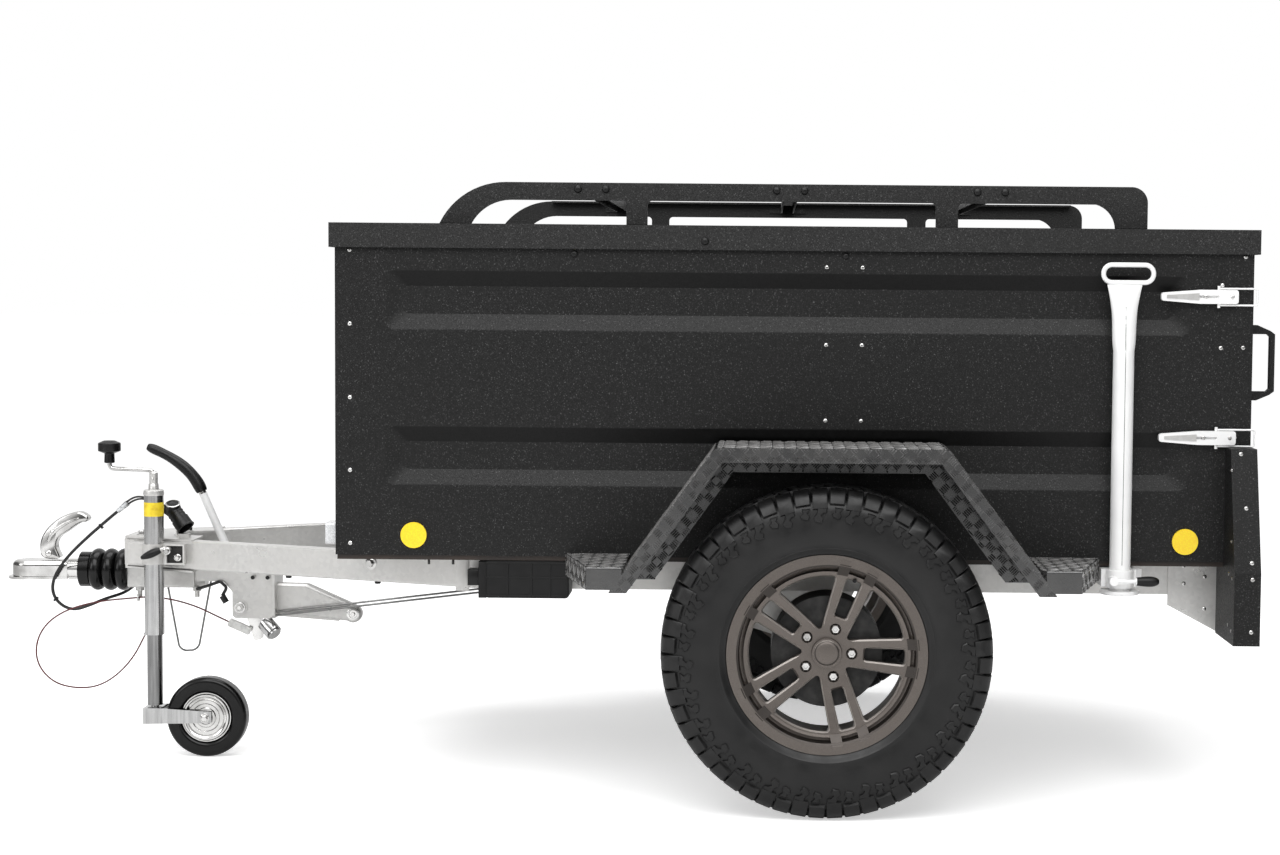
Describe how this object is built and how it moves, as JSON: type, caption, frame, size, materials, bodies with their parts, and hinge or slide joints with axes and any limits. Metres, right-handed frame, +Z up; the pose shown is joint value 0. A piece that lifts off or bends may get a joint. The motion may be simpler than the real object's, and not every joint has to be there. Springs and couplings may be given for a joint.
{
  "type": "off-road box trailer",
  "caption": "Braked single-axle off-road box trailer with a hinged lid, roof rails, tailgate, jockey wheel and corner stands.",
  "frame": {"origin": "on the ground, midway along the overall length and on the centre plane", "axes": "+X to the rear, +Y to the trailer's right-hand side, +Z up"},
  "size_m": [3.123, 1.7, 1.425],
  "materials": {
    "steel_galvanised": "hot-dip galvanised steel, satin grey with faint spangle",
    "steel_zinc": "bright zinc-plated steel",
    "black_powder_coat": "black fine-textured powder coat",
    "black_chequer_plate": "black coated chequer plate",
    "plywood": "film-faced birch plywood, dark brown",
    "black_rubber": "moulded black rubber",
    "tyre": "black tyre rubber",
    "alloy_bronze": "satin bronze-grey alloy",
    "brake_steel": "dark cast iron",
    "black_plastic": "matte black plastic",
    "lamp_red": "red lamp lens",
    "lamp_clear": "clear lamp lens",
    "reflector_amber": "amber reflector",
    "cable_red": "red plastic-coated wire",
    "cable_black": "black cable sheath",
    "sleeve_clear": "clear heat-shrink sleeve",
    "tag_white": "white plastic tag"
  },
  "bodies": {
    "chassis": {"chassis_frame": "steel_galvanised", "drawbar": "steel_galvanised", "overrun_housing": "steel_galvanised", "drawbar_bellows": "black_rubber", "coupling_head": "steel_zinc", "coupling_handle": "steel_zinc", "handbrake_bracket": "steel_galvanised", "handbrake_lever": "steel_zinc", "handbrake_grip": "black_plastic", "brake_rods": "steel_zinc", "jockey_clamp": "steel_galvanised", "jockey_outer_tube": "steel_galvanised", "jockey_crank": "steel_zinc", "crank_knob": "black_plastic", "clamp_grip": "black_plastic", "floor_panel": "plywood", "side_panel_left": "black_powder_coat", "side_panel_right": "black_powder_coat", "front_panel": "black_powder_coat", "lid_hinges": "black_powder_coat", "tailgate_hinges": "steel_galvanised", "fender_left": "black_chequer_plate", "fender_right": "black_chequer_plate", "wheel_chocks": "black_plastic", "axle_beam": "steel_galvanised", "lamp_guards": "black_powder_coat", "rear_lamps": "lamp_red", "front_lamps": "lamp_clear", "side_reflectors": "reflector_amber", "stand_clamps": "steel_zinc", "toggle_latches": "steel_zinc", "brake_spring": "steel_zinc", "brake_cable": "cable_black", "cable_stay": "steel_zinc", "cable_clip": "black_plastic", "electrical_cable": "cable_black", "cable_sleeve": "sleeve_clear", "plug_lead_upper": "cable_black", "plug_lead_lower": "cable_black", "trailer_plug": "black_plastic", "breakaway_tag": "tag_white", "breakaway_cable": "cable_red", "breakaway_hook": "steel_zinc", "fender_steps": "black_chequer_plate"},
    "lid": {"lid_panel": "black_powder_coat", "roof_rails": "black_powder_coat"},
    "tailgate": {"tailgate_panel": "black_powder_coat", "tailgate_handles": "black_powder_coat"},
    "corner_stand_left": {"corner_stand_left": "steel_zinc"},
    "corner_stand_right": {"corner_stand_right": "steel_zinc"},
    "jockey_stem": {"jockey_inner_tube": "steel_galvanised"},
    "jockey_fork": {"jockey_fork": "steel_galvanised"},
    "jockey_wheel": {"jockey_rim": "steel_zinc", "jockey_tyre": "black_rubber"},
    "wheel_left": {"tyre_left": "tyre", "rim_left": "alloy_bronze", "brake_drum_left": "brake_steel"},
    "wheel_right": {"tyre_right": "tyre", "rim_right": "alloy_bronze", "brake_drum_right": "brake_steel"}
  },
  "joints": [
    {"name": "wheel_left_spin", "type": "hinge", "parent": "chassis", "child": "wheel_left", "pos_m": [0.5295, -0.727, 0.373], "axis": [0, 1, 0], "continuous": true},
    {"name": "wheel_right_spin", "type": "hinge", "parent": "chassis", "child": "wheel_right", "pos_m": [0.5295, 0.727, 0.373], "axis": [0, 1, 0], "continuous": true},
    {"name": "lid_hinge", "type": "hinge", "parent": "chassis", "child": "lid", "pos_m": [-0.6175, 0, 1.262], "axis": [0, -1, 0], "range_deg": [0, 60]},
    {"name": "tailgate_hinge", "type": "hinge", "parent": "chassis", "child": "tailgate", "pos_m": [1.5095, 0, 0.566], "axis": [0, 1, 0], "range_deg": [0, 90]},
    {"name": "corner_stand_left_slide", "type": "slide", "parent": "chassis", "child": "corner_stand_left", "axis": [0, 0, -1], "range_m": [0, 0.48]},
    {"name": "corner_stand_right_slide", "type": "slide", "parent": "chassis", "child": "corner_stand_right", "axis": [0, 0, -1], "range_m": [0, 0.48]},
    {"name": "jockey_screw", "type": "slide", "parent": "chassis", "child": "jockey_stem", "axis": [0, 0, 1], "range_m": [-0.1, 0.12]},
    {"name": "jockey_swivel", "type": "hinge", "parent": "jockey_stem", "child": "jockey_fork", "pos_m": [-1.1425, -0.165, 0.126], "axis": [0, 0, 1], "continuous": true},
    {"name": "jockey_wheel_spin", "type": "hinge", "parent": "jockey_fork", "child": "jockey_wheel", "pos_m": [-1.0095, -0.165, 0.1], "axis": [0, 1, 0], "continuous": true}
  ]
}
